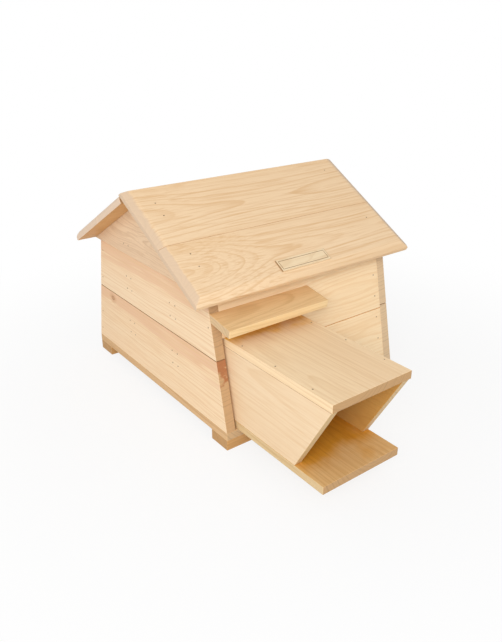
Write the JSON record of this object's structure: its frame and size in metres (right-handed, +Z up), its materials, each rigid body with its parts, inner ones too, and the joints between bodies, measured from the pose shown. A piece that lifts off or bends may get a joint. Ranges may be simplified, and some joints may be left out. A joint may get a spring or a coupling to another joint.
{
  "type": "hedgehog house",
  "caption": "Timber hedgehog house with leaning walls, a projecting entrance tunnel under a small canopy, and a pitched roof whose rear half is a hinged lid.",
  "frame": {"origin": "on the ground under the middle of the whole outline, tunnel included", "axes": "+Z up, X along the ridge, the tunnel mouth faces -Y and is at the -X end"},
  "size_m": [0.476, 0.696, 0.3995],
  "materials": {
    "pine": "raw planed softwood",
    "plate_wood": "smooth bare wood",
    "nail_steel": "dull",
    "hinge_steel": "zinc plated"
  },
  "bodies": {
    "house": {"back_wall_lower": "pine", "back_wall_nails": "nail_steel", "back_wall_upper": "pine", "bearer_front": "pine", "bearer_nails": "nail_steel", "bearer_rear": "pine", "canopy_board": "pine", "canopy_nails": "nail_steel", "corner_post_back_left": "pine", "corner_post_back_right": "pine", "corner_post_front_left": "pine", "corner_post_front_right": "pine", "floor_board_1": "pine", "floor_board_2": "pine", "floor_board_3": "pine", "floor_board_4": "pine", "front_wall_lower": "pine", "front_wall_nails": "nail_steel", "front_wall_upper": "pine", "gable_cleat_left_front": "pine", "gable_cleat_left_rear": "pine", "gable_cleat_nails": "nail_steel", "gable_cleat_right_front": "pine", "gable_cleat_right_rear": "pine", "gable_foot_nails": "nail_steel", "gable_left_lower": "pine", "gable_left_middle": "pine", "gable_left_top": "pine", "gable_right_lower": "pine", "gable_right_middle": "pine", "gable_right_top": "pine", "hinge_left_pin": "hinge_steel", "hinge_left_ridge_leaf": "hinge_steel", "hinge_ridge_screws": "hinge_steel", "hinge_right_pin": "hinge_steel", "hinge_right_ridge_leaf": "hinge_steel", "plaque": "plate_wood", "roof_front_lower": "pine", "roof_front_upper": "pine", "roof_nails": "nail_steel", "tunnel_floor": "pine", "tunnel_floor_nails": "nail_steel", "tunnel_seat_nails": "nail_steel", "tunnel_side_left": "pine", "tunnel_side_right": "pine", "tunnel_top": "pine", "tunnel_top_nails": "nail_steel", "wall_end_nails": "nail_steel"},
    "lid": {"hinge_left_lid_leaf": "hinge_steel", "hinge_lid_screws": "hinge_steel", "hinge_right_lid_leaf": "hinge_steel", "lid_batten_left": "pine", "lid_batten_right": "pine", "lid_lower": "pine", "lid_nails": "nail_steel", "lid_upper": "pine"}
  },
  "joints": [
    {"name": "lid_hinge", "type": "hinge", "parent": "house", "child": "lid", "pos_m": [0, 0.12571, 0.39253], "axis": [1, 0, 0], "range_deg": [0, 170]}
  ]
}
